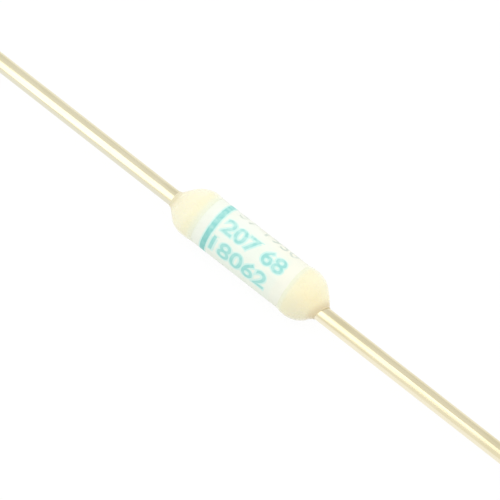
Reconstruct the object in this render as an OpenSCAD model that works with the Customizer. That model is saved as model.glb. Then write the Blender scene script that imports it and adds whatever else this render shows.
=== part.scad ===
// Axial thermal fuse of the alloy type: a ceramic tube, two tinned leads joined by a
// fusible alloy rod in flux, and a domed resin seal cast on each end of the tube.
// The tube's axis is X, the origin is the tube's centre and +Z is up.

/* [Ceramic tube] */
// Outer diameter of the tube
tube_d = 3.0; // [2.6:0.1:4]
// Thickness of the tube's wall
tube_wall = 0.5; // [0.35:0.05:0.6]
// Length of the tube between its end faces
tube_l = 7.3; // [6:0.1:12]
// Chamfer on the outer edge of each end face
tube_edge = 0.15; // [0.05:0.05:0.3]

/* [Leads] */
// Diameter of the tinned copper wire
lead_d = 1.0; // [0.8:0.05:1.2]
// Free length of each lead, from the resin to its cut end
lead_free_l = 35; // [20:1:60]
// Distance of the leads from the tube's axis, towards the front
lead_offset = 0.2; // [0.05:0.05:0.3]
// Chamfer on the cut end of a lead
lead_chamfer = 0.1; // [0.05:0.05:0.2]

/* [Fusible link] */
// Diameter of the alloy rod
link_d = 0.8; // [0.6:0.05:0.9]
// Height of the weld bead above the rod
bead_h = 0.06; // [0.04:0.01:0.08]
// Length of the weld bead on each side of the weld
bead_l = 0.25; // [0.15:0.05:0.4]
// Thickness of the flux on the rod
flux_wall = 0.16; // [0.1:0.02:0.2]
// Length by which the flux runs past each weld
flux_lap = 0.35; // [0.3:0.05:0.6]
// Air space between the flux and each resin plug
flux_space = 0.5; // [0.3:0.05:0.8]

/* [Resin seals] */
// Depth of the resin plug in the bore
plug_l = 1.2; // [0.8:0.1:1.6]
// Depth of the hollow in the plug's inner front
plug_hollow = 0.35; // [0.1:0.05:0.6]
// Slope of the domes' flanks against the axis
flank_angle = 47; // [36:1:52]
// Length by which the resin wraps over the tube's wall
wrap_l = 0.45; // [0.35:0.05:0.7]
// Thickness of the resin where the wrap ends
wrap_edge = 0.02; // [0.01:0.01:0.03]
// Height by which the left dome swells out over the tube
left_swell = 0.05; // [0.04:0.01:0.12]
// Height by which the right dome swells out over the tube
right_swell = 0.08; // [0.04:0.01:0.12]
// Straight stretch of the left dome before it rounds over
left_land = 0.25; // [0.05:0.05:0.5]
// Straight stretch of the right dome before it rounds over
right_land = 0.2; // [0.05:0.05:0.5]
// Radius of the meniscus where the resin climbs a lead
meniscus_r = 0.25; // [0.2:0.05:0.6]
// Thickness of the resin's rim on a lead
rim_h = 0.04; // [0.02:0.01:0.08]
// Depth by which the right meniscus sinks into its dome
collar_sink = 0.02; // [0.01:0.01:0.05]

/* [Hidden] */
$fn = 180;

tube_r = tube_d / 2;
bore_r = tube_r - tube_wall;
lead_r = lead_d / 2;
link_r = link_d / 2;
rim_r = lead_r + rim_h;
half_tube = tube_l / 2;

// The rod fills the length that the plugs, the air spaces and the flux leave between them
half_link = half_tube - plug_l - flux_space - flux_lap;
half_flux = half_link + flux_lap;
flux_r = link_r + flux_wall;

// The resin thins out on the tube's wall and has its full swell where the tube's chamfer starts.
// Past its land each dome is a ball, a flank that touches the ball, and a meniscus that takes
// the flank's slope and ends along the lead. Heights count from the ball's centre.
wrap_base = half_tube - wrap_l;
dome_base = half_tube - tube_edge;
left_ball_r = tube_r + left_swell;
right_ball_r = tube_r + right_swell;
function flank_h(ball_r, r) = ball_r / sin(flank_angle) - r / tan(flank_angle);

// Each arc of the outline is drawn in equal parts
arc_parts = 12;
half_turn = 180;
arc_angles = [for (part = [0 : arc_parts]) flank_angle * part / arc_parts];
function ball_line(ball_r) = [for (a = arc_angles) ball_r * [cos(a), sin(a)]];

meniscus_rise = meniscus_r * sin(flank_angle);
meniscus_foot_r = rim_r + meniscus_r * (1 - cos(flank_angle));
function meniscus_line(top) = [
    for (a = arc_angles)
        let (slope = flank_angle - a)
            [rim_r + meniscus_r * (1 - cos(slope)), top - meniscus_r * sin(slope)]
];

// The left dome leans to its lead and is as high all round
lean_h = flank_h(left_ball_r, meniscus_foot_r) + meniscus_rise;

// The right dome stands upright, so its flank meets the lead low in front and high behind,
// and its meniscus only shows in front
near_r = lead_r - lead_offset;
collar_h = flank_h(right_ball_r, lead_offset + meniscus_foot_r) + meniscus_rise - collar_sink;

left_seal_end = dome_base + left_land + lean_h;
right_seal_end = dome_base + right_land + flank_h(right_ball_r, near_r) + rim_h;

// Pieces are drawn along +Z with the leads moved along +X, then laid down along X,
// where the leads' offset points to -Y
module lay() rotate([-90, 0, 0]) rotate([0, 90, 0]) children();
module left_end() mirror([0, 0, 1]) children();
module on_lead_axis() translate([lead_offset, 0, 0]) children();

module tube_body() {
    rotate_extrude()
        polygon([
            [bore_r, -half_tube],
            [tube_r - tube_edge, -half_tube],
            [tube_r, -dome_base],
            [tube_r, dome_base],
            [tube_r - tube_edge, half_tube],
            [bore_r, half_tube]
        ]);
}

// Round wire outside the resin, drawn down inside it to the alloy rod's diameter
module lead_wire(seal_end) {
    tip = seal_end + lead_free_l;
    on_lead_axis()
        rotate_extrude()
            polygon([
                [0, half_link],
                [link_r, half_link],
                [lead_r, seal_end],
                [lead_r, tip - lead_chamfer],
                [lead_r - lead_chamfer, tip],
                [0, tip]
            ]);
}

// Bead of alloy that the weld leaves around the joint of rod and lead
module weld_bead() {
    on_lead_axis()
        rotate_extrude()
            polygon([
                [0, half_link - bead_l],
                [link_r, half_link - bead_l],
                [link_r + bead_h, half_link],
                [link_r, half_link + bead_l],
                [0, half_link + bead_l]
            ]);
}

module link_body() {
    difference() {
        union() {
            on_lead_axis()
                translate([0, 0, -half_link])
                    cylinder(r = link_r, h = 2 * half_link);
            weld_bead();
            left_end() weld_bead();
        }
        lead_wire(right_seal_end);
        left_end() lead_wire(left_seal_end);
    }
}

// Even coat on the rod that thins out over the leads
module flux_body() {
    difference() {
        on_lead_axis()
            rotate_extrude()
                polygon([
                    [0, -half_flux],
                    [link_r, -half_flux],
                    [flux_r, -half_link],
                    [flux_r, half_link],
                    [link_r, half_flux],
                    [0, half_flux]
                ]);
        link_body();
        lead_wire(right_seal_end);
        left_end() lead_wire(left_seal_end);
    }
}

// Rings stay round while their centres lean from the tube's axis to the lead's.
// One half is drawn on each side of the plane in which the dome leans.
module leaning_dome() {
    for (side = [0, 1])
        mirror([0, side, 0])
            multmatrix([
                [1, 0, lead_offset / lean_h, 0],
                [0, 1, 0, 0],
                [0, 0, 1, 0],
                [0, 0, 0, 1]
            ])
                rotate_extrude(angle = half_turn)
                    polygon(concat([[0, 0]], ball_line(left_ball_r), meniscus_line(lean_h), [[0, lean_h]]));
}

// The flank runs on into the lead, which then hides its end
module upright_dome() {
    flank_end = [near_r / 2, flank_h(right_ball_r, near_r / 2)];
    rotate_extrude()
        polygon(concat([[0, 0]], ball_line(right_ball_r), [flank_end, [0, flank_end.y]]));
    on_lead_axis()
        rotate_extrude()
            polygon(concat([[0, collar_h - meniscus_rise]], meniscus_line(collar_h), [[0, collar_h]]));
}

// Plug in the bore, with the hollow front that the resin has when it sets
module bore_plug() {
    front = half_tube - plug_l;
    hollow_r = (bore_r ^ 2 + plug_hollow ^ 2) / (2 * plug_hollow);
    rotate_extrude()
        difference() {
            translate([0, front]) square([bore_r, plug_l]);
            translate([0, front + plug_hollow - hollow_r]) circle(r = hollow_r);
        }
}

// Resin around the tube's end, up to the ball's centre, and a cone that reaches into the dome
module wrap(ball_r, land) {
    cone_top = dome_base + land + ball_r - bore_r;
    rotate_extrude()
        polygon([
            [0, wrap_base],
            [tube_r + wrap_edge, wrap_base],
            [ball_r, dome_base],
            [ball_r, dome_base + land],
            [bore_r, cone_top],
            [0, cone_top]
        ]);
}

// The dome comes as the child, drawn from its ball's centre
module seal_body(ball_r, land, seal_end) {
    difference() {
        union() {
            wrap(ball_r, land);
            translate([0, 0, dome_base + land]) children();
            bore_plug();
        }
        tube_body();
        lead_wire(seal_end);
    }
}

module ceramic_tube() color("WhiteSmoke") lay() tube_body();
module lead_left() color("Wheat") lay() left_end() lead_wire(left_seal_end);
module lead_right() color("Wheat") lay() lead_wire(right_seal_end);
module fusible_link() color("Silver") lay() link_body();
module flux_coat() color("DarkGoldenrod") lay() flux_body();
module seal_left() {
    color("Cornsilk") lay() left_end() seal_body(left_ball_r, left_land, left_seal_end) leaning_dome();
}
module seal_right() {
    color("Cornsilk") lay() seal_body(right_ball_r, right_land, right_seal_end) upright_dome();
}

ceramic_tube();
lead_left();
lead_right();
fusible_link();
flux_coat();
seal_left();
seal_right();
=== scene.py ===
"""Looks of a small axial thermal fuse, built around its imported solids.

A white ceramic tube carries a printed ring and rows of plain numbers. A domed seal of cream resin
closes each end, and a tinned wire lead leaves each seal. All places are in metres in the part's own
frame: +X along the tube towards the right lead, +Z up, and -Y the side towards which the leads are
off centre.
"""

import logging
import math
from dataclasses import astuple, dataclass, field, replace
from enum import Enum
from functools import cache
from typing import Callable, Optional, Union

import bpy
from mathutils import Color, Matrix, Quaternion, Vector


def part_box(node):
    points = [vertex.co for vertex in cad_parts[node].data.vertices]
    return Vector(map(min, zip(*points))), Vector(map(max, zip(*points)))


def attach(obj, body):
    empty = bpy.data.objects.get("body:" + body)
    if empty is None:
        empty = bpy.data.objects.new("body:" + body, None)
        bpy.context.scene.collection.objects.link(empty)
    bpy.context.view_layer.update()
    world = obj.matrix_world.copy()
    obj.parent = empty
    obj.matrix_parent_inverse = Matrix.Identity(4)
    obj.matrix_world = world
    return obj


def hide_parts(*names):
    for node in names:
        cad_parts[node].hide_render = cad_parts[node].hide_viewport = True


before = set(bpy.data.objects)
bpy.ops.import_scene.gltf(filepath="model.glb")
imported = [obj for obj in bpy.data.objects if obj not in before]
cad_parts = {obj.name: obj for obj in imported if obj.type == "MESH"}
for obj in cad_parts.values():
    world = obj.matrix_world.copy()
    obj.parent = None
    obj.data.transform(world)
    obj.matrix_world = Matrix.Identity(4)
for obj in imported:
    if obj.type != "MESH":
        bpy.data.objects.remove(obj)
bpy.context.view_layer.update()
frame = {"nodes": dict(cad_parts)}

LOG = logging.getLogger("thermal_fuse")
BODY = "root"
MM = 0.001
PER_METRE_TO_MM = 1000.0
QUARTER_TURN = math.pi / 2

# Meshes: points around a round piece, distance of doubles, smooth shading, and what faces an end
ROUND_BODY = 160
ROUND_WIRE = 96
SAME_PLACE = 0.0005 * MM
SMOOTH_ANGLE = math.radians(28)
END_FACING = 0.9

# Print: how far the ink bleeds, and how high a digit stands in a text of size 1
BLEED = 0.09 * MM
TEXT_HEIGHT = 0.7

# Shaders: colours, detail of the clouds, share of the cells without a speck, and kinds of sockets
FULL_CHANNEL = 255
WHITE = (1.0, 1.0, 1.0, 1.0)
GRAIN_DETAIL = 4.0
EMPTY_CELLS = 0.72
NUMBER = "NodeSocketFloat"
VECTOR = "NodeSocketVector"

Piece = bpy.types.Object
Part = Union[bpy.types.MeshPolygon, bpy.types.MeshEdge]
Node = bpy.types.Node
NodeTree = bpy.types.NodeTree
Socket = bpy.types.NodeSocket
Rgb = tuple[int, int, int]
Rgba = tuple[float, float, float, float]
Triple = tuple[float, float, float]
Feed = Union[Socket, float, Rgba, Triple]
Paint = Union[Socket, Rgb]
Span = tuple[Feed, Feed]


class Side(Enum):
    """The two ends of the fuse, each with its direction along X."""

    LEFT = -1
    RIGHT = 1

    @property
    def word(self) -> str:
        """The end's name as the nodes spell it."""
        return self.name.lower()


class PartKind(Enum):
    """Kinds of parts of a mesh, each with the name of their list."""

    FACE = "polygons"
    EDGE = "edges"


class Reach(Enum):
    """Ways to measure how far a place lies from a centre: the vector operation and its other input."""

    ALONG = ("LENGTH", (1.0, 0.0, 0.0))
    AROUND = ("LENGTH", (0.0, 1.0, 1.0))
    FRONT = ("DOT_PRODUCT", (0.0, -1.0, 0.0))
    RIGHT = ("DOT_PRODUCT", (1.0, 0.0, 0.0))
    UNDER = ("DOT_PRODUCT", (0.0, 0.0, -1.0))


class Ease(Enum):
    """How a remapped value runs between its two ends."""

    STRAIGHT = "LINEAR"
    SMOOTH = "SMOOTHSTEP"


# Sizes


@dataclass(frozen=True)
class Ring:
    """One section of a piece: place along X, centre's Y, radius as seen along X, and tilt."""

    x: float
    y: float
    r: float
    tilt: float = 0.0


@dataclass(frozen=True)
class DomeForm:
    """Where one resin dome stands and how it meets its lead, counted from the centre of its ball."""

    ball_x: float
    ball_r: float
    root_h: float
    tilt: float
    lean: float
    meniscus_r: float


@dataclass(frozen=True)
class FuseSizes:
    """Sizes of the fuse in metres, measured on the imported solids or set, most as in the part's source."""

    tube_r: float
    half_tube: float
    lead_r: float
    lead_y: float
    half_link: float
    floor_z: float
    lead_tips: dict[Side, float]
    lands: dict[Side, float]
    swells: dict[Side, float]
    tube_wall: float = 0.5 * MM
    tube_edge: float = 0.15 * MM
    lead_chamfer: float = 0.1 * MM
    link_r: float = 0.4 * MM
    plug_l: float = 1.2 * MM
    plug_hollow: float = 0.35 * MM
    wrap_l: float = 0.45 * MM
    wrap_edge: float = 0.02 * MM
    flank_angle: float = math.radians(47)
    wide_meniscus_r: float = 0.25 * MM
    rim_h: float = 0.04 * MM
    lead_free_l: float = 35 * MM
    # Where the right dome meets its lead, softer than in the source
    tight_meniscus_r: float = 0.12 * MM
    front_climb: float = 0.05 * MM

    @classmethod
    def from_frame(cls) -> "FuseSizes":
        """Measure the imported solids.

        Returns:
            The sizes of the fuse.
        """
        tube_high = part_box("ceramic_tube")[1]
        lead_low, lead_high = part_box("lead_right")
        return cls(
            tube_r=tube_high.y,
            half_tube=tube_high.x,
            lead_r=(lead_high.z - lead_low.z) / 2,
            lead_y=(lead_high.y + lead_low.y) / 2,
            half_link=lead_low.x,
            floor_z=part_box("seal_right")[0].z,
            lead_tips={Side.LEFT: -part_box("lead_left")[0].x, Side.RIGHT: lead_high.x},
            lands={Side.LEFT: 0.25 * MM, Side.RIGHT: 0.2 * MM},
            swells={Side.LEFT: 0.05 * MM, Side.RIGHT: 0.08 * MM},
        )

    @property
    def bore_r(self) -> float:
        """Radius of the tube's bore."""
        return self.tube_r - self.tube_wall

    @property
    def rim_r(self) -> float:
        """Radius of the resin's thin rim on the lead."""
        return self.lead_r + self.rim_h

    @property
    def dome_base(self) -> float:
        """Distance from the middle at which the resin has its full swell."""
        return self.half_tube - self.tube_edge

    @property
    def wrap_base(self) -> float:
        """Distance from the middle at which the resin thins out on the tube's wall."""
        return self.half_tube - self.wrap_l

    def flank_h(self, ball_r: float, r: float) -> float:
        """Height of the flank above the centre of the dome's ball, at a distance from the tube's axis."""
        return ball_r / math.sin(self.flank_angle) - r / math.tan(self.flank_angle)

    def dome(self, side: Side) -> DomeForm:
        """Form of one dome: the left one leans to its lead, the right one stands upright around it.

        Args:
            side: End of the fuse.

        Returns:
            The dome's form.
        """
        ball_x = self.dome_base + self.lands[side]
        ball_r = self.tube_r + self.swells[side]
        if side is Side.LEFT:
            foot_r = self.rim_r + self.wide_meniscus_r * (1 - math.cos(self.flank_angle))
            root_h = self.flank_h(ball_r, foot_r) + self.wide_meniscus_r * math.sin(self.flank_angle)
            return DomeForm(ball_x, ball_r, root_h, 0.0, self.lead_y / root_h, self.wide_meniscus_r)
        front_h = self.flank_h(ball_r, self.lead_r - self.lead_y) + self.front_climb
        back_h = self.flank_h(ball_r, self.lead_r + self.lead_y)
        tilt = math.atan2(back_h - front_h, 2 * self.lead_r)
        return DomeForm(ball_x, ball_r, (front_h + back_h) / 2, tilt, 0.0, self.tight_meniscus_r)

    def seal_end(self, side: Side) -> float:
        """Distance from the middle at which a lead has its full diameter."""
        return self.lead_tips[side] - self.lead_free_l

    def wire_r(self, reach: float, side: Side) -> float:
        """Radius of the wire inside the resin, where it is drawn down to the alloy rod."""
        share = (reach - self.half_link) / (self.seal_end(side) - self.half_link)
        return self.link_r + share * (self.lead_r - self.link_r)


# Modelling by hand


def deselect_all() -> None:
    """Leave edit mode and select nothing."""
    if bpy.context.mode != "OBJECT":
        bpy.ops.object.mode_set(mode="OBJECT")
    bpy.ops.object.select_all(action="DESELECT")


def take_up(name: str) -> Piece:
    """Name the object that was added last and put its place into its mesh.

    Args:
        name: Name of the new piece.

    Returns:
        The piece.
    """
    piece = bpy.context.object
    piece.name = name
    piece.data.name = name
    bpy.ops.object.transform_apply()
    return piece


def select_parts(piece: Piece, kind: PartKind, wanted: Callable[[Part], bool]) -> None:
    """Select some parts of a piece and stay in edit mode.

    Args:
        piece: The active piece.
        kind: Kind of the parts.
        wanted: Test that a part has to pass.
    """
    bpy.ops.object.mode_set(mode="EDIT")
    bpy.ops.mesh.select_mode(type=kind.name)
    bpy.ops.mesh.select_all(action="DESELECT")
    bpy.ops.object.mode_set(mode="OBJECT")
    for part in getattr(piece.data, kind.value):
        part.select = wanted(part)
    bpy.ops.object.mode_set(mode="EDIT")


def merge_doubles() -> None:
    """Merge the doubles of the piece in edit mode and leave all of it selected."""
    bpy.ops.mesh.select_mode(type="VERT")
    bpy.ops.mesh.select_all(action="SELECT")
    bpy.ops.mesh.remove_doubles(threshold=SAME_PLACE)


def close_up(piece: Piece) -> None:
    """Merge a piece's doubles, turn its faces outwards and shade it smooth.

    Args:
        piece: The active piece.
    """
    bpy.ops.object.mode_set(mode="EDIT")
    merge_doubles()
    bpy.ops.mesh.normals_make_consistent(inside=False)
    bpy.ops.object.mode_set(mode="OBJECT")
    bpy.ops.object.select_all(action="DESELECT")
    piece.select_set(True)
    bpy.ops.object.shade_smooth_by_angle(angle=SMOOTH_ANGLE)


def apply_modifier(piece: Piece, kind: str, **settings: object) -> None:
    """Add a modifier to the active piece and apply it.

    Args:
        piece: The active piece.
        kind: Blender's name of the modifier's type.
        settings: The modifier's settings.
    """
    modifier = piece.modifiers.new(kind.lower(), kind)
    for key, value in settings.items():
        setattr(modifier, key, value)
    bpy.ops.object.modifier_apply(modifier=modifier.name)


def tilt_ring(tilt: float, centre: Triple) -> None:
    """Turn the selected ring about an upright line through its centre, its +Y side towards +X."""
    if tilt:
        bpy.ops.transform.rotate(value=tilt, orient_axis="Z", center_override=centre)


def loft(name: str, rings: list[Ring], around: int, capped: bool) -> Piece:
    """Extrude a circle from ring to ring into one closed round piece along X.

    Args:
        name: Name of the new piece.
        rings: Sections in order along the surface.
        around: Points on each ring.
        capped: Whether the ends are capped. Without caps the last ring joins the first.

    Returns:
        The piece.
    """
    deselect_all()
    first = rings[0]
    bpy.ops.mesh.primitive_circle_add(
        vertices=around,
        radius=first.r,
        fill_type="NGON" if capped else "NOTHING",
        location=(first.x, first.y, 0),
        rotation=(0, QUARTER_TURN, 0),
    )
    piece = take_up(name)
    bpy.ops.object.mode_set(mode="EDIT")
    bpy.ops.mesh.select_mode(type="EDGE")
    bpy.ops.mesh.select_all(action="SELECT")
    path = rings[1:] if capped else [*rings[1:], first]
    last = first
    for ring in path:
        move = (ring.x - last.x, ring.y - last.y, 0)
        bpy.ops.mesh.extrude_edges_move(TRANSFORM_OT_translate={"value": move})
        centre = (ring.x, ring.y, 0)
        tilt_ring(-last.tilt, centre)
        grow = ring.r / last.r
        slant = math.cos(last.tilt) / math.cos(ring.tilt)
        bpy.ops.transform.resize(value=(1, grow * slant, grow), center_override=centre)
        tilt_ring(ring.tilt, centre)
        last = ring
    if capped:
        bpy.ops.mesh.edge_face_add()
    close_up(piece)
    return piece


# Nodes of the finishes


@dataclass(frozen=True)
class Patch:
    """Part of a surface, by the distances in millimetres at which its mask is 0 and has its full share."""

    kind: Reach
    low: float
    high: float
    share: float = 1.0


@dataclass(frozen=True)
class Grain:
    """Clouds: how many to a millimetre, noise at which their mask starts and is full, and stretch."""

    fineness: float
    low: float
    high: float
    stretch: Triple = (1.0, 1.0, 1.0)


@dataclass(frozen=True)
class Specks:
    """Scattered specks: cells to a millimetre, and a speck's radius as a share of its cell."""

    fineness: float
    size: float


@dataclass(frozen=True)
class Skin:
    """Touch of a surface: its roughness where its grain is 0 and 1, and its relief's share and depth."""

    roughness: Span
    relief: float
    depth: float


def linear(colour: Rgb) -> Rgba:
    """Turn a colour as seen on screen, 0 to 255, into the linear values that shaders take."""
    seen = Color([channel / FULL_CHANNEL for channel in colour])
    return (*seen.from_srgb_to_scene_linear(), 1.0)


class NodeBoard:
    """Adds nodes to one node tree and joins their sockets."""

    MIX_SHARE = 0
    MIX_FIRST = 6
    MIX_SECOND = 7
    MIX_RESULT = 2

    def __init__(self, tree: NodeTree) -> None:
        """Keep the tree that the nodes go into."""
        self.tree = tree

    @property
    def shader(self) -> Node:
        """The shader that a new material has."""
        return self.tree.nodes["Principled BSDF"]

    def feed(self, socket: Socket, value: Feed) -> None:
        """Link a socket to another one, or set its own value.

        Args:
            socket: Socket to feed.
            value: Socket to link it to, or its value.
        """
        if isinstance(value, Socket):
            self.tree.links.new(value, socket)
        else:
            socket.default_value = value

    def add(
        self, kind: str, inputs: Optional[dict[Union[str, int], Feed]] = None, **settings: object
    ) -> Node:
        """Add a node.

        Args:
            kind: Blender's name of the node's type.
            inputs: Values or sockets for the node's inputs, by name or number.
            settings: The node's own settings.

        Returns:
            The node.
        """
        node = self.tree.nodes.new(kind)
        for key, value in settings.items():
            setattr(node, key, value)
        for key, value in (inputs or {}).items():
            self.feed(node.inputs[key], value)
        return node

    def mix(self, share: Feed, first: Paint, second: Paint) -> Socket:
        """Mix two colours.

        Args:
            share: Share of the second colour.
            first: Colour where the share is 0.
            second: Colour where the share is 1.

        Returns:
            The mixed colour.
        """
        inputs = {self.MIX_SHARE: share}
        for key, paint in {self.MIX_FIRST: first, self.MIX_SECOND: second}.items():
            inputs[key] = paint if isinstance(paint, Socket) else linear(paint)
        return self.add("ShaderNodeMix", inputs, data_type="RGBA").outputs[self.MIX_RESULT]

    def layers(self, ground: Paint, *coats: tuple[Socket, Paint]) -> Socket:
        """Lay colours over a ground one after the other.

        Args:
            ground: The lowest colour.
            coats: Mask and colour of each layer.

        Returns:
            The colour that shows.
        """
        colour = ground
        for mask, paint in coats:
            colour = self.mix(mask, colour, paint)
        return colour

    def blend(self, share: Feed, first: Socket, second: Socket) -> Socket:
        """Blend two shaders by the share of the second one."""
        return self.add("ShaderNodeMixShader", {0: share, 1: first, 2: second}).outputs[0]

    def number(self, operation: str, first: Feed, second: Feed) -> Socket:
        """Work out one number from two by one of Blender's operations."""
        return self.add("ShaderNodeMath", {0: first, 1: second}, operation=operation).outputs[0]

    def vector(self, operation: str, first: Feed, second: Feed) -> Node:
        """Add a node for one of Blender's operations on two vectors."""
        return self.add("ShaderNodeVectorMath", {0: first, 1: second}, operation=operation)

    def remap(
        self, value: Feed, low: Feed, high: Feed, span: Span = (0.0, 1.0), ease: Ease = Ease.SMOOTH
    ) -> Socket:
        """Bring a value to another span.

        Args:
            value: Value to remap.
            low: Value that becomes the start of the span.
            high: Value that becomes the end of the span.
            span: Start and end of the result.
            ease: How the result runs between them.

        Returns:
            The remapped value.
        """
        start, end = span
        inputs = {"Value": value, "From Min": low, "From Max": high, "To Min": start, "To Max": end}
        return self.add("ShaderNodeMapRange", inputs, interpolation_type=ease.value).outputs["Result"]

    def place_mm(self) -> Socket:
        """Place on the piece in millimetres."""
        place = self.add("ShaderNodeTexCoord").outputs["Object"]
        scale = (PER_METRE_TO_MM,) * 3
        return self.add("ShaderNodeMapping", {"Vector": place, "Scale": scale}).outputs["Vector"]

    def mask(self, group: NodeTree, inputs: dict[str, Feed]) -> Socket:
        """Place a shared group with its own values and take its mask."""
        return self.add("ShaderNodeGroup", inputs, node_tree=group).outputs["Mask"]

    def patch(self, patch: Patch, centre_y: float = 0.0) -> Socket:
        """Mask of a patch.

        Args:
            patch: The patch.
            centre_y: Y in metres of the centre from which its distances count.

        Returns:
            The mask.
        """
        centre = (0.0, centre_y * PER_METRE_TO_MM, 0.0)
        inputs = {"Centre": centre, "Low": patch.low, "High": patch.high, "Share": patch.share}
        return self.mask(reach_group(patch.kind), inputs)

    def grain(self, grain: Grain) -> Socket:
        """Mask of clouds."""
        levels = {"Low": grain.low, "High": grain.high}
        return self.mask(grain_group(), {"Fineness": grain.fineness, "Stretch": grain.stretch, **levels})

    def specks(self, specks: Specks) -> Socket:
        """Mask of scattered specks."""
        return self.mask(speck_group(), {"Fineness": specks.fineness, "Size": specks.size})

    def coat(self, colour: Socket, skin: Skin, grain: Socket, height: Socket) -> None:
        """Join colour, roughness and relief to the shader.

        Args:
            colour: Colour of the surface.
            skin: Roughness and relief of the surface.
            grain: Grain that the roughness follows.
            height: Height of the relief, 0 to 1.
        """
        bump = {"Height": height, "Strength": skin.relief, "Distance": skin.depth}
        self.feed(self.shader.inputs["Base Color"], colour)
        self.feed(self.shader.inputs["Roughness"], self.remap(grain, 0.0, 1.0, skin.roughness))
        self.feed(self.shader.inputs["Normal"], self.add("ShaderNodeBump", bump).outputs["Normal"])


def new_group(name: str, inputs: dict[str, str]) -> tuple[NodeBoard, Node, Node]:
    """Make an empty shader group that puts out one mask.

    Args:
        name: Name of the group.
        inputs: Socket type of each input, by name.

    Returns:
        The group's board, its input node and its output node.
    """
    board = NodeBoard(bpy.data.node_groups.new(name, "ShaderNodeTree"))
    for key, kind in inputs.items():
        board.tree.interface.new_socket(name=key, in_out="INPUT", socket_type=kind)
    board.tree.interface.new_socket(name="Mask", in_out="OUTPUT", socket_type=NUMBER)
    return board, board.add("NodeGroupInput"), board.add("NodeGroupOutput")


@cache
def reach_group(kind: Reach) -> NodeTree:
    """Group that measures the distance from a centre, built once for each kind.

    Args:
        kind: How the distance is measured.

    Returns:
        The group, with inputs Centre, Low, High and Share and the output Mask.
    """
    sockets = {"Centre": VECTOR, "Low": NUMBER, "High": NUMBER, "Share": NUMBER}
    board, given, result = new_group(f"reach_{kind.name.lower()}", sockets)
    operation, other = kind.value
    place = board.vector("SUBTRACT", board.place_mm(), given.outputs["Centre"]).outputs["Vector"]
    if operation == "LENGTH":
        place = board.vector("MULTIPLY", place, other).outputs["Vector"]
    distance = board.vector(operation, place, other).outputs["Value"]
    span = (0.0, given.outputs["Share"])
    mask = board.remap(distance, given.outputs["Low"], given.outputs["High"], span)
    board.feed(result.inputs["Mask"], mask)
    return board.tree


@cache
def grain_group() -> NodeTree:
    """Group of cloudy grain, built once.

    Returns:
        The group, with inputs Fineness, Stretch, Low and High and the output Mask.
    """
    sockets = {"Fineness": NUMBER, "Stretch": VECTOR, "Low": NUMBER, "High": NUMBER}
    board, given, result = new_group("cloudy_grain", sockets)
    place = board.vector("MULTIPLY", board.place_mm(), given.outputs["Stretch"]).outputs["Vector"]
    inputs = {"Vector": place, "Scale": given.outputs["Fineness"], "Detail": GRAIN_DETAIL}
    noise = board.add("ShaderNodeTexNoise", inputs).outputs[0]
    board.feed(result.inputs["Mask"], board.remap(noise, given.outputs["Low"], given.outputs["High"]))
    return board.tree


@cache
def speck_group() -> NodeTree:
    """Group of scattered round specks, built once.

    Returns:
        The group, with inputs Fineness and Size and the output Mask.
    """
    board, given, result = new_group("scattered_specks", {"Fineness": NUMBER, "Size": NUMBER})
    inputs = {"Vector": board.place_mm(), "Scale": given.outputs["Fineness"]}
    cells = board.add("ShaderNodeTexVoronoi", inputs).outputs
    dot = board.remap(cells["Distance"], given.outputs["Size"], 0.0)
    chance = board.add("ShaderNodeSeparateColor", {"Color": cells["Color"]}).outputs["Red"]
    kept = board.number("GREATER_THAN", chance, EMPTY_CELLS)
    board.feed(result.inputs["Mask"], board.number("MULTIPLY", dot, kept))
    return board.tree


# Finishes


@dataclass(frozen=True)
class Finish:
    """What every finish has: the name of its material."""

    name: str

    def build(self) -> bpy.types.Material:
        """Make the material.

        Returns:
            The material, painted by the finish's own nodes.
        """
        material = bpy.data.materials.new(self.name)
        material.use_nodes = True
        self.paint(NodeBoard(material.node_tree))
        return material

    def paint(self, board: NodeBoard) -> None:
        """Join the finish's nodes to the material's shader."""
        raise NotImplementedError

    def dress(self, piece: Piece) -> None:
        """Give a piece this finish as its only material."""
        piece.data.materials.clear()
        piece.data.materials.append(self.build())


@dataclass(frozen=True)
class CeramicFinish(Finish):
    """Satin white ceramic with a veil of ink around its print and resin soaked into its ends."""

    body_left: Rgb = (247, 251, 241)
    body_right: Rgb = (250, 250, 234)
    shade: Rgb = (243, 245, 231)
    # Painted shade: a darker, greener colour towards the front (-Y) side, where less light falls
    front: Rgb = (245, 249, 234)
    veil: Rgb = (240, 251, 239)
    soaked_left: Rgb = (245, 250, 232)
    soaked_right: Rgb = (250, 249, 233)
    speck: Rgb = (226, 225, 208)
    right_part: Patch = Patch(Reach.RIGHT, -1.5, 3.0)
    right_half: Patch = Patch(Reach.RIGHT, -0.5, 0.5)
    # Mask of the painted shade towards the front
    front_part: Patch = Patch(Reach.FRONT, 0.3, 1.3, share=0.45)
    printed_length: Patch = Patch(Reach.ALONG, 2.7, 2.3, share=0.5)
    printed_front: Patch = Patch(Reach.FRONT, -0.95, -0.5)
    soaked_part: Patch = Patch(Reach.ALONG, 2.9, 3.35)
    clouds: Grain = Grain(fineness=0.9, low=0.38, high=0.75)
    tooth: Grain = Grain(fineness=26.0, low=0.25, high=0.75)
    specks: Specks = Specks(fineness=3.2, size=0.1)
    skin: Skin = Skin(roughness=(0.42, 0.58), relief=0.25, depth=0.004 * MM)

    def paint(self, board: NodeBoard) -> None:
        """Mottled body, painted shade towards the front, ink veil, soaked ends, kiln specks and a fine
        tooth.

        Args:
            board: Board of the material.
        """
        tooth = board.grain(self.tooth)
        printed_front = board.patch(self.printed_front)
        printed = board.number("MULTIPLY", board.patch(self.printed_length), printed_front)
        soaked = board.mix(board.patch(self.right_half), self.soaked_left, self.soaked_right)
        colour = board.layers(
            self.body_left,
            (board.patch(self.right_part), self.body_right),
            (board.grain(self.clouds), self.shade),
            # Painted shade towards the front
            (board.patch(self.front_part), self.front),
            (printed, self.veil),
            (board.patch(self.soaked_part), soaked),
            (board.specks(self.specks), self.speck),
        )
        board.coat(colour, self.skin, tooth, tooth)


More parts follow.
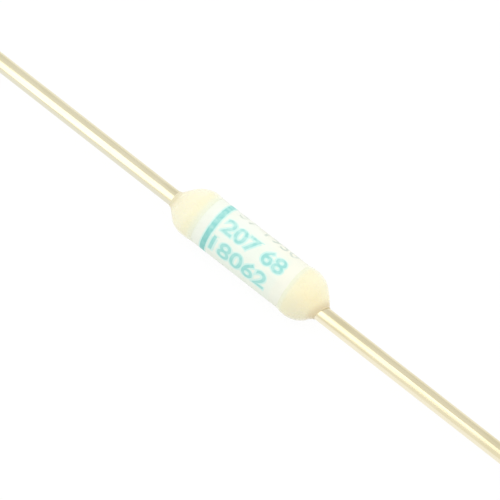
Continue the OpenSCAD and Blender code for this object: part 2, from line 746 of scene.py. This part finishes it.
@dataclass(frozen=True)
class ResinFinish(Finish):
    """Cast cream resin, paler where it thins out on the tube and deeper in colour on the lead, with painted
    light and shade towards the front, painted shade in the crease at the lead and a painted pale rim light
    on the back and underside.
    """

    lead_y: float
    body: Rgb
    deep: Rgb
    band: Rgb
    thin: Rgb
    # Tan where the resin is thin over the lead, darkened further by painted shade in the crease where the
    # dome meets the lead
    root: Rgb
    # Painted light and shade towards the front: lighter on the left dome, darker on the right
    front: Rgb
    # Painted rim light: a paler colour on the back and the underside, where the dome turns away
    pale: Rgb = (252, 250, 240)
    deep_part: Patch = Patch(Reach.FRONT, -1.1, 0.3)
    # Mask of the painted light and shade towards the front
    front_part: Patch = Patch(Reach.FRONT, 0.35, 1.35, share=0.8)
    band_part: Patch = Patch(Reach.ALONG, 4.15, 3.7, share=0.6)
    thin_part: Patch = Patch(Reach.ALONG, 3.65, 3.25)
    root_part: Patch = Patch(Reach.AROUND, 0.95, 0.54, share=0.9)
    back_part: Patch = Patch(Reach.FRONT, -1.0, -1.5, share=0.6)
    under_part: Patch = Patch(Reach.UNDER, -0.2, 0.5, share=0.6)
    clouds: Grain = Grain(fineness=0.7, low=0.35, high=0.68)
    cloud_shares: Span = (0.65, 1.0)
    waves: Grain = Grain(fineness=1.6, low=0.2, high=0.8)
    pits: Specks = Specks(fineness=2.4, size=0.07)
    skin: Skin = Skin(roughness=(0.24, 0.34), relief=0.2, depth=0.008 * MM)
    scatter_share: float = 0.08
    scatter_tint: Triple = (1.0, 0.8, 0.5)
    scatter_depth: float = 0.25 * MM

    def paint(self, board: NodeBoard) -> None:
        """Cloudy body, painted light and shade towards the front, band beside its thin edge, tan root
        darkened by painted shade, painted pale rim light on the back and underside, waves and pits.

        Args:
            board: Board of the material.
        """
        waves = board.grain(self.waves)
        clouds = board.remap(board.grain(self.clouds), 0.0, 1.0, self.cloud_shares)
        deep = board.number("MULTIPLY", board.patch(self.deep_part), clouds)
        # Painted pale rim light on the back and underside
        pale = board.number("MAXIMUM", board.patch(self.back_part), board.patch(self.under_part))
        colour = board.layers(
            self.body,
            (deep, self.deep),
            # Painted light and shade towards the front
            (board.patch(self.front_part), self.front),
            (board.patch(self.band_part), self.band),
            (board.patch(self.thin_part), self.thin),
            # Tan root with painted shade in its crease
            (board.patch(self.root_part, self.lead_y), self.root),
            (pale, self.pale),
        )
        height = board.number("SUBTRACT", waves, board.specks(self.pits))
        board.coat(colour, self.skin, waves, height)
        inputs = board.shader.inputs
        inputs["Subsurface Weight"].default_value = self.scatter_share
        inputs["Subsurface Radius"].default_value = self.scatter_tint
        inputs["Subsurface Scale"].default_value = self.scatter_depth


@dataclass(frozen=True)
class TinnedWireFinish(Finish):
    """Drawn copper wire under a warm, slightly uneven tin coat."""

    lead_y: float
    tin: Rgb
    warm: Rgb
    # Painted reflection: a band along the wire's front edge, darker on the left lead and lighter on the
    # right
    under: Rgb
    skin: Skin
    under_part: Patch = Patch(Reach.FRONT, 0.36, 0.45)
    streaks: Grain = Grain(fineness=9.0, low=0.3, high=0.7, stretch=(0.03, 1.0, 1.0))
    lines: Grain = Grain(fineness=30.0, low=0.25, high=0.75, stretch=(0.012, 1.0, 1.0))
    blotches: Grain = Grain(fineness=0.8, low=0.4, high=0.7, stretch=(0.6, 1.0, 1.0))
    thin_share: float = 0.5

    def paint(self, board: NodeBoard) -> None:
        """Long streaks, blotches of thinner tin, fine draw lines and a painted reflection band along the
        front edge.

        Args:
            board: Board of the material.
        """
        streaks = board.grain(self.streaks)
        thin_tin = board.number("ADD", streaks, board.grain(self.blotches))
        colour = board.layers(
            self.tin,
            (board.number("MULTIPLY", thin_tin, self.thin_share), self.warm),
            # Painted reflection band along the front edge
            (board.patch(self.under_part, self.lead_y), self.under),
        )
        board.coat(colour, self.skin, streaks, board.grain(self.lines))
        board.shader.inputs["Metallic"].default_value = 1.0


@dataclass(frozen=True)
class InkFinish(Finish):
    """Pad-printed ink that lies thicker in some places than in others, with painted shade and light towards
    the front.
    """

    full: Rgb
    thin: Rgb
    # Painted shade and light towards the front: darker on the ring, a little lighter on the bleed
    front: Rgb
    front_part: Patch = Patch(Reach.FRONT, 0.3, 1.3, share=0.6)
    cover: Grain = Grain(fineness=3.0, low=0.38, high=0.66)
    tooth: Grain = Grain(fineness=30.0, low=0.3, high=0.7)
    skin: Skin = Skin(roughness=(0.45, 0.6), relief=0.2, depth=0.003 * MM)

    def paint(self, board: NodeBoard) -> None:
        """Blotchy cover with painted shade and light towards the front, over a fine tooth.

        Args:
            board: Board of the material.
        """
        tooth = board.grain(self.tooth)
        colour = board.layers(
            # The last layer is painted shade and light towards the front
            self.full, (board.grain(self.cover), self.thin), (board.patch(self.front_part), self.front)
        )
        board.coat(colour, self.skin, tooth, tooth)


@dataclass(frozen=True)
class AlloyFinish(Finish):
    """Cast low-melting alloy with a frosty grain."""

    light: Rgb = (196, 197, 199)
    dark: Rgb = (150, 152, 158)
    frost: Grain = Grain(fineness=6.0, low=0.35, high=0.65)
    skin: Skin = Skin(roughness=(0.28, 0.45), relief=0.3, depth=0.006 * MM)

    def paint(self, board: NodeBoard) -> None:
        """Frosty patches of light and dark grain.

        Args:
            board: Board of the material.
        """
        frost = board.grain(self.frost)
        board.coat(board.mix(frost, self.light, self.dark), self.skin, frost, frost)
        board.shader.inputs["Metallic"].default_value = 1.0


@dataclass(frozen=True)
class FluxFinish(Finish):
    """Amber flux, glossy, with darker clouds and a few bubbles."""

    amber: Rgb = (203, 150, 66)
    brown: Rgb = (160, 104, 38)
    clouds: Grain = Grain(fineness=1.5, low=0.3, high=0.7)
    bubbles: Specks = Specks(fineness=4.0, size=0.18)
    skin: Skin = Skin(roughness=(0.12, 0.22), relief=0.4, depth=0.01 * MM)

    def paint(self, board: NodeBoard) -> None:
        """Amber clouds and bubbles under a glossy skin.

        Args:
            board: Board of the material.
        """
        clouds = board.grain(self.clouds)
        colour = board.mix(clouds, self.amber, self.brown)
        board.coat(colour, self.skin, clouds, board.specks(self.bubbles))


@dataclass(frozen=True)
class FloorFinish(Finish):
    """Plain pale floor that looks white and still takes a soft shadow."""

    paper: Rgb = (240, 240, 239)
    grey: Rgb = (238, 238, 237)
    fibres: Grain = Grain(fineness=0.05, low=0.3, high=0.7)
    roughness: float = 0.9
    white_share: float = 0.88
    white: float = 1.035

    def paint(self, board: NodeBoard) -> None:
        """Paper that glows white for the camera and in reflections.

        Args:
            board: Board of the material.
        """
        colour = board.mix(board.grain(self.fibres), self.paper, self.grey)
        inputs = board.shader.inputs
        board.feed(inputs["Base Color"], colour)
        inputs["Roughness"].default_value = self.roughness
        inputs["Specular IOR Level"].default_value = 0.0
        glow = board.add("ShaderNodeEmission", {"Color": WHITE, "Strength": self.white}).outputs[0]
        share = board.number("MULTIPLY", seen_rays(board), self.white_share)
        output = board.tree.nodes["Material Output"]
        board.feed(output.inputs["Surface"], board.blend(share, board.shader.outputs[0], glow))


def seen_rays(board: NodeBoard) -> Socket:
    """Mask of the rays that show a surface: straight from the camera, mirrored or through glass.

    Args:
        board: Board of the material or world.

    Returns:
        The mask.
    """
    path = board.add("ShaderNodeLightPath").outputs
    seen = board.number("MAXIMUM", path["Is Camera Ray"], path["Is Glossy Ray"])
    return board.number("MAXIMUM", seen, path["Is Transmission Ray"])


# Pieces of the fuse


@dataclass
class FusePiece:
    """What every piece of the fuse has: the sizes that it follows and its finish."""

    sizes: FuseSizes
    finish: Finish

    def dress(self, piece: Piece) -> None:
        """Give the piece its finish."""
        self.finish.dress(piece)


@dataclass
class CeramicTube(FusePiece):
    """The white ceramic tube that holds everything together."""

    def build(self) -> Piece:
        """Drill and chamfer a cylinder.

        Returns:
            The tube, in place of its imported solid.
        """
        sizes = self.sizes
        deselect_all()
        bpy.ops.mesh.primitive_cylinder_add(
            vertices=ROUND_BODY,
            radius=sizes.tube_r,
            depth=2 * sizes.half_tube,
            end_fill_type="NGON",
            rotation=(0, QUARTER_TURN, 0),
        )
        tube = take_up("tube_shell")
        select_parts(tube, PartKind.FACE, lambda face: abs(face.normal.x) > END_FACING)
        bpy.ops.mesh.inset(thickness=sizes.tube_wall)
        bpy.ops.mesh.bridge_edge_loops()
        select_parts(tube, PartKind.EDGE, lambda edge: self.is_outer(tube, edge))
        bpy.ops.mesh.bevel(offset=sizes.tube_edge, segments=1, affect="EDGES")
        close_up(tube)
        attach(tube, BODY)
        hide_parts("ceramic_tube")
        return tube

    def is_outer(self, tube: Piece, edge: bpy.types.MeshEdge) -> bool:
        """Tell whether an edge lies on the outer rim of an end face.

        Args:
            tube: The tube.
            edge: An edge of its mesh.

        Returns:
            Whether both ends of the edge lie there.
        """
        reach = self.sizes.half_tube - SAME_PLACE
        far = self.sizes.tube_r - self.sizes.tube_wall / 2
        ends = (tube.data.vertices[index].co for index in edge.vertices)
        return all(abs(end.x) > reach and end.yz.length > far for end in ends)


@dataclass
class EndSeal(FusePiece):
    """The resin cast into one end of the tube and domed around its lead."""

    side: Side
    ball_rings: int = 20
    flank_rings: int = 6
    meniscus_rings: int = 10
    wrap_rings_count: int = 8
    edge_rings: int = 4
    hollow_rings: int = 6

    def build(self) -> Piece:
        """Loft the seal's surface, from the tube's end along the plug and the wire and over the dome.

        Returns:
            The seal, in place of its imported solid.
        """
        sign = self.side.value
        rings = [
            Ring(sign * ring.x, ring.y, ring.r, sign * ring.tilt)
            for ring in (*self.plug_rings(), *self.dome_rings())
        ]
        seal = loft(f"resin_dome_{self.side.word}", rings, ROUND_BODY, capped=False)
        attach(seal, BODY)
        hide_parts(f"seal_{self.side.word}")
        return seal

    def dome_rings(self) -> list[Ring]:
        """Sections of the dome from its rim on the lead down to the tube.

        Returns:
            Rings of the meniscus, the flank, the ball and the wrap around the tube.
        """
        sizes = self.sizes
        form = sizes.dome(self.side)
        root_x = form.ball_x + form.root_h
        meniscus = [
            Ring(
                root_x - form.meniscus_r * math.sin(turn),
                sizes.lead_y,
                sizes.rim_r + form.meniscus_r * (1 - math.cos(turn)),
                form.tilt,
            )
            for turn in steps(0.0, sizes.flank_angle, self.meniscus_rings)
        ]
        ball = [
            Ring(
                form.ball_x + form.ball_r * math.sin(turn),
                form.lean * form.ball_r * math.sin(turn),
                form.ball_r * math.cos(turn),
            )
            for turn in steps(sizes.flank_angle, 0.0, self.ball_rings)
        ]
        flank = [
            blend_rings(meniscus[-1], ball[0], share) for share in steps(0.0, 1.0, self.flank_rings)
        ]
        return [*meniscus, *flank[1:-1], *ball, *self.wrap_rings(form.ball_r)]

    def wrap_rings(self, ball_r: float) -> list[Ring]:
        """Sections of the resin over the tube's wall, from its full swell to its rounded edge.

        Args:
            ball_r: Radius of the dome's ball.

        Returns:
            Rings of the wrap and of the wall and the chamfer under it.
        """
        sizes = self.sizes
        edge = sizes.wrap_edge
        rings = [
            Ring(
                sizes.dome_base + share * (sizes.wrap_base + edge - sizes.dome_base),
                0.0,
                ball_r + ease(share) * (sizes.tube_r + edge - ball_r),
            )
            for share in steps(0.0, 1.0, self.wrap_rings_count)
        ]
        rings += [
            Ring(
                sizes.wrap_base + edge * (1 - math.sin(turn)),
                0.0,
                sizes.tube_r + edge * math.cos(turn),
            )
            for turn in steps(0.0, QUARTER_TURN, self.edge_rings)[1:]
        ]
        return [*rings, Ring(sizes.dome_base, 0.0, sizes.tube_r)]

    def plug_rings(self) -> list[Ring]:
        """Sections inside the tube, from its chamfer along the bore and back along the wire.

        Returns:
            Rings of the tube's end, the plug, its hollow front and the hole of the wire.
        """
        sizes = self.sizes
        front = sizes.half_tube - sizes.plug_l
        hollow_r = (sizes.bore_r**2 + sizes.plug_hollow**2) / (2 * sizes.plug_hollow)
        centre = front + sizes.plug_hollow - hollow_r
        wire_r = sizes.wire_r(front, self.side)
        rings = [
            Ring(sizes.half_tube, 0.0, sizes.tube_r - sizes.tube_edge),
            Ring(sizes.half_tube, 0.0, sizes.bore_r),
        ]
        for share in steps(0.0, 1.0, self.hollow_rings):
            r = sizes.bore_r + share * (wire_r - sizes.bore_r)
            rings.append(Ring(centre + math.sqrt(hollow_r**2 - r**2), share * sizes.lead_y, r))
        form = sizes.dome(self.side)
        root_x = form.ball_x + form.root_h
        rings.append(Ring(root_x, sizes.lead_y, sizes.wire_r(root_x, self.side), form.tilt))
        return rings


@dataclass
class LeadWire(FusePiece):
    """One tinned lead, from its cut end to the alloy rod inside the tube."""

    side: Side
    stretches: int = 24

    def build(self) -> Piece:
        """Loft the wire from its chamfered tip inwards.

        Returns:
            The lead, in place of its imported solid.
        """
        sizes = self.sizes
        tip = sizes.lead_tips[self.side]
        seal_end = sizes.seal_end(self.side)
        outline = [(tip, sizes.lead_r - sizes.lead_chamfer)]
        outline += [(x, sizes.lead_r) for x in steps(tip - sizes.lead_chamfer, seal_end, self.stretches)]
        outline += [(sizes.half_link, sizes.link_r)]
        rings = [Ring(self.side.value * x, sizes.lead_y, r) for x, r in outline]
        lead = loft(f"wire_{self.side.word}", rings, ROUND_WIRE, capped=True)
        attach(lead, BODY)
        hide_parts(f"lead_{self.side.word}")
        return lead


@dataclass
class PrintedPiece(FusePiece):
    """A film of ink on the tube, with its name and its ends along X."""

    name: str
    left: float
    right: float
    film: float = field(default=0.008 * MM, kw_only=True)

    def build(self, tube: Piece) -> Piece:
        """Make the print on the tube that carries it."""
        raise NotImplementedError

    def bleed(self, finish: InkFinish) -> "PrintedPiece":
        """The thin, wider print of ink that has bled into the ceramic around this one."""
        wider = {"left": self.left - BLEED, "right": self.right + BLEED}
        return replace(self, finish=finish, name=f"{self.name}_bled", film=self.film / 2, **wider)


@dataclass
class PrintedRing(PrintedPiece):
    """The ring of ink that is printed around the tube near its left end."""

    ragged: float = 0.03 * MM
    fray_size: float = 0.12 * MM

    def build(self, tube: Piece) -> Piece:
        """Wrap a band around the tube, fray its edges and give it a film's thickness.

        Args:
            tube: The tube that carries the ring.

        Returns:
            The ring.
        """
        deselect_all()
        bpy.ops.mesh.primitive_cylinder_add(
            vertices=2 * ROUND_BODY,
            radius=tube.dimensions.y / 2,
            depth=self.right - self.left,
            end_fill_type="NOTHING",
            location=((self.left + self.right) / 2, 0, 0),
            rotation=(0, QUARTER_TURN, 0),
        )
        ring = take_up(self.name)
        fray = bpy.data.textures.new(f"{self.name}_fray", "CLOUDS")
        fray.noise_scale = self.fray_size
        frayed = {"texture": fray, "texture_coords": "LOCAL", "direction": "X", "strength": self.ragged}
        apply_modifier(ring, "DISPLACE", **frayed)
        apply_modifier(ring, "SOLIDIFY", thickness=self.film, offset=1.0)
        close_up(ring)
        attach(ring, BODY)
        return ring


@dataclass
class PrintedRow(PrintedPiece):
    """One row of plain numbers printed along the tube."""

    numbers: str
    turn: float
    height: float = 0.96 * MM
    boldness: float = 0.012
    curve_steps: int = 8
    cuts: int = 24

    def bleed(self, finish: InkFinish) -> "PrintedRow":
        """The bled print of the row, which is also taller and bolder."""
        bolder = self.boldness + BLEED / self.height * TEXT_HEIGHT
        return replace(super().bleed(finish), height=self.height + 2 * BLEED, boldness=bolder)

    def build(self, tube: Piece) -> Piece:
        """Set the numbers flat above the tube, cut them into strips and press them onto it.

        Args:
            tube: The tube that carries the row.

        Returns:
            The row.
        """
        deselect_all()
        bpy.ops.object.text_add(location=(0, 0, 0))
        text = bpy.context.object.data
        text.body = self.numbers
        text.align_x = "CENTER"
        text.align_y = "CENTER"
        text.resolution_u = self.curve_steps
        text.offset = self.boldness
        bpy.ops.object.convert(target="MESH")
        row = take_up(self.name)
        self.size_up(row)
        bpy.ops.object.mode_set(mode="EDIT")
        merge_doubles()
        for y in steps(-self.height / 2, self.height / 2, self.cuts)[1:-1]:
            bpy.ops.mesh.select_all(action="SELECT")
            bpy.ops.mesh.bisect(plane_co=(0, y, 0), plane_no=(0, 1, 0))
        bpy.ops.object.mode_set(mode="OBJECT")
        pressed = {"wrap_method": "PROJECT", "use_project_z": True, "use_negative_direction": True}
        apply_modifier(row, "SHRINKWRAP", target=tube, **pressed)
        apply_modifier(row, "SOLIDIFY", thickness=self.film, offset=1.0)
        row.rotation_euler = (self.turn, 0, 0)
        bpy.ops.object.transform_apply()
        close_up(row)
        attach(row, BODY)
        return row

    def size_up(self, row: Piece) -> None:
        """Bring the flat numbers to their width, height and place above the tube.

        Args:
            row: The active piece.
        """
        corners = [Vector(corner) for corner in row.bound_box]
        low = Vector(min(corner[axis] for corner in corners) for axis in range(3))
        high = Vector(max(corner[axis] for corner in corners) for axis in range(3))
        middle = (low + high) / 2
        row.scale = ((self.right - self.left) / (high.x - low.x), self.height / (high.y - low.y), 1)
        row.location = (
            (self.left + self.right) / 2 - middle.x * row.scale.x,
            -middle.y * row.scale.y,
            2 * self.sizes.tube_r,
        )
        bpy.ops.object.transform_apply()


@dataclass
class InnerParts:
    """The alloy rod and its flux, which stay as packed and only get their finish."""

    alloy: AlloyFinish
    flux: FluxFinish

    def dress(self, nodes: dict[str, Piece]) -> None:
        """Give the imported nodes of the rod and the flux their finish."""
        self.alloy.dress(nodes["fusible_link"])
        self.flux.dress(nodes["flux_coat"])


def blend_rings(first: Ring, second: Ring, share: float) -> Ring:
    """Ring between two others, at a share of the way from the first to the second."""
    pairs = zip(astuple(first), astuple(second))
    return Ring(*(low + share * (high - low) for low, high in pairs))


def ease(share: float) -> float:
    """Share that starts and ends gently."""
    return share * share * (3 - 2 * share)


def steps(start: float, end: float, count: int) -> list[float]:
    """Values from start to end, both included, with a count of even steps between them."""
    return [start + (end - start) * index / count for index in range(count + 1)]


# Studio


@dataclass(frozen=True)
class Lamp:
    """An oval soft lamp that faces the fuse."""

    name: str
    towards: Triple
    distance: float
    half_width: float
    half_length: float
    roll: float
    glow: float

    def hang(self) -> None:
        """Hang the lamp in its place."""
        towards = Vector(self.towards).normalized()
        deselect_all()
        bpy.ops.object.light_add(type="AREA", location=towards * self.distance)
        lamp = bpy.context.object
        lamp.name = self.name
        turn = towards.to_track_quat("Z", "Y") @ Quaternion((0, 0, 1), self.roll)
        lamp.rotation_euler = turn.to_euler()
        lamp.data.shape = "ELLIPSE"
        lamp.data.size = 2 * self.half_width
        lamp.data.size_y = 2 * self.half_length
        lamp.data.energy = self.glow * math.pi * math.pi * self.half_width * self.half_length


@dataclass(frozen=True)
class SkyGlow:
    """White glow of the room that rises evenly towards one side."""

    side: Triple
    dim: float
    bright: float

    def light(self, board: NodeBoard) -> Socket:
        """Add the glow to the world's nodes.

        Args:
            board: Board of the world.

        Returns:
            The shader of the glow.
        """
        view = board.add("ShaderNodeTexCoord").outputs["Generated"]
        facing = board.vector("DOT_PRODUCT", view, self.side).outputs["Value"]
        level = board.remap(facing, -1.0, 1.0, (self.dim, self.bright), Ease.STRAIGHT)
        return board.add("ShaderNodeBackground", {"Color": WHITE, "Strength": level}).outputs[0]


@dataclass
class Studio:
    """Pale floor, soft light and the camera."""

    sizes: FuseSizes
    floor_finish: FloorFinish
    softbox: Lamp
    sky: SkyGlow
    mirrored: SkyGlow
    floor_width: float = 4.0
    azimuth: float = math.radians(40.1)
    elevation: float = math.radians(68.0)
    distance: float = 0.187
    view_width: float = 28.45 * MM
    aim_right: float = -0.04 * MM
    aim_up: float = 0.21 * MM

    def build(self) -> None:
        """Set up everything around the fuse."""
        bpy.context.scene.view_settings.view_transform = "Standard"
        self.lay_floor()
        self.light_room()
        self.softbox.hang()
        self.place_camera()

    def lay_floor(self) -> None:
        """Lay the floor under the tube."""
        deselect_all()
        bpy.ops.mesh.primitive_plane_add(size=self.floor_width, location=(0, 0, self.sizes.floor_z))
        floor = take_up("pale_floor")
        self.floor_finish.dress(floor)

    def light_room(self) -> None:
        """Fill the room with white light that has its own glow in reflections."""
        world = bpy.data.worlds.new("white_room")
        world.use_nodes = True
        board = NodeBoard(world.node_tree)
        glow = board.blend(seen_rays(board), self.sky.light(board), self.mirrored.light(board))
        board.feed(world.node_tree.nodes["World Output"].inputs["Surface"], glow)
        bpy.context.scene.world = world

    def place_camera(self) -> None:
        """Place the camera at the photograph's viewing angle."""
        flat = math.cos(self.elevation)
        back = Vector(
            (math.sin(self.azimuth) * flat, -math.cos(self.azimuth) * flat, math.sin(self.elevation))
        )
        right = Vector((math.cos(self.azimuth), math.sin(self.azimuth), 0))
        up = back.cross(right)
        aim = right * self.aim_right + up * self.aim_up
        bpy.ops.object.camera_add()
        camera = bpy.context.object
        camera.name = "view_camera"
        turn = Matrix((right, up, back)).transposed().to_4x4()
        camera.matrix_world = Matrix.Translation(aim + back * self.distance) @ turn
        camera.data.lens = camera.data.sensor_width * self.distance / self.view_width
        camera.data.clip_start = 1 * MM
        bpy.context.scene.camera = camera


# Assembly


# Each ink's front colour is painted shade and light towards the front: darker on the ring, a little lighter
# on the bleed
RING_INK = InkFinish("ink_ring", full=(144, 217, 211), thin=(180, 233, 225), front=(126, 203, 196))
ROW_INK = InkFinish("ink_rows", full=(157, 223, 216), thin=(192, 237, 229), front=(158, 223, 215))
BLED_INK = InkFinish("ink_bled", full=(207, 244, 236), thin=(222, 248, 239), front=(214, 245, 236))
WORN_INK = InkFinish("ink_worn", full=(212, 222, 210), thin=(236, 241, 230), front=(212, 222, 210))
FRONT_TURN = math.radians(51.5)
BACK_TURN = math.radians(-60)


def end_finishes(lead_y: float) -> dict[Side, tuple[ResinFinish, TinnedWireFinish]]:
    """Finishes of the seal and the lead at each end, paler on the left and warmer on the right: lit and
    shaded copies, the left end painted lighter and the right end darker, as the lamp from the left lights
    them.

    Args:
        lead_y: Y of the leads' axis.

    Returns:
        The resin and the tinned wire of each end.
    """
    # Lit and shaded copies: the left resin is painted lighter and the right one darker, as the lamp from
    # the left lights them
    left_resin = ResinFinish(
        "resin_pale",
        lead_y,
        body=(251, 246, 220),
        deep=(251, 244, 212),
        band=(247, 243, 205),
        thin=(245, 248, 222),
        root=(234, 225, 190),
        # Painted light: the front of the left dome is lighter
        front=(254, 250, 220),
    )
    right_resin = ResinFinish(
        "resin_warm",
        lead_y,
        body=(252, 246, 213),
        deep=(251, 239, 197),
        band=(246, 241, 205),
        thin=(245, 247, 219),
        # Darkened by painted shade in the crease of the right dome's root
        root=(226, 209, 170),
        # Painted shade: the front of the right dome is darker
        front=(239, 235, 205),
    )
    # Lit and shaded copies: the two leads are one tin, painted lighter on the left and darker on the right,
    # as the lamp lights them
    left_wire = TinnedWireFinish(
        "tin_bright",
        lead_y,
        tin=(241, 233, 203),
        warm=(231, 222, 186),
        # Painted reflection: a darker band on the left lead's front edge
        under=(228, 224, 203),
        skin=Skin(roughness=(0.1, 0.2), relief=0.35, depth=0.003 * MM),
    )
    right_wire = TinnedWireFinish(
        "tin_warm",
        lead_y,
        tin=(238, 228, 195),
        warm=(227, 216, 178),
        # Painted reflection: a lighter band on the right lead's front edge
        under=(243, 235, 209),
        skin=Skin(roughness=(0.09, 0.18), relief=0.35, depth=0.003 * MM),
    )
    return {Side.LEFT: (left_resin, left_wire), Side.RIGHT: (right_resin, right_wire)}


def all_prints(sizes: FuseSizes) -> list[PrintedPiece]:
    """Everything that is printed on the tube.

    Args:
        sizes: Sizes of the fuse.

    Returns:
        The ring and its bleed, the two clear rows and theirs, and the worn row behind.
    """
    ring = PrintedRing(sizes, RING_INK, "print_ring", -2.53 * MM, -2.2 * MM)
    rows = [
        PrintedRow(sizes, ROW_INK, "print_row_top", -1.87 * MM, 2.47 * MM, "207 68", turn=0.0),
        PrintedRow(sizes, ROW_INK, "print_row_front", -1.98 * MM, 2.04 * MM, "18062", FRONT_TURN),
    ]
    worn = PrintedRow(sizes, WORN_INK, "print_row_back", -1.74 * MM, 2.48 * MM, "37 1930", BACK_TURN)
    return [ring, ring.bleed(BLED_INK), *rows, *(row.bleed(BLED_INK) for row in rows), worn]


def complete(maker: FusePiece, piece: Piece) -> None:
    """Dress a piece that is built and report it."""
    maker.dress(piece)
    LOG.info("%s: %d faces", piece.name, len(piece.data.polygons))


def main() -> None:
    """Build, dress and light the fuse."""
    logging.basicConfig(level=logging.INFO, format="%(message)s")
    sizes = FuseSizes.from_frame()
    tube_maker = CeramicTube(sizes, CeramicFinish("ceramic_satin"))
    tube = tube_maker.build()
    complete(tube_maker, tube)

    for side, (resin, tin) in end_finishes(sizes.lead_y).items():
        for maker in (EndSeal(sizes, resin, side), LeadWire(sizes, tin, side)):
            complete(maker, maker.build())
    for print_maker in all_prints(sizes):
        complete(print_maker, print_maker.build(tube))
    InnerParts(AlloyFinish("alloy_frosty"), FluxFinish("flux_amber")).dress(frame["nodes"])

    softbox = Lamp(
        "softbox",
        (-0.35, -0.485, 0.801),
        distance=0.45,
        half_width=0.105,
        half_length=0.369,
        roll=math.radians(18.9),
        glow=0.75,
    )
    sky = SkyGlow((0.1, 0.8, 0.59), dim=0.61, bright=1.14)
    mirrored = SkyGlow((0.0, -1.0, 0.0), dim=0.81, bright=0.98)
    Studio(sizes, FloorFinish("floor_paper"), softbox, sky, mirrored).build()


if __name__ == "__main__":
    main()
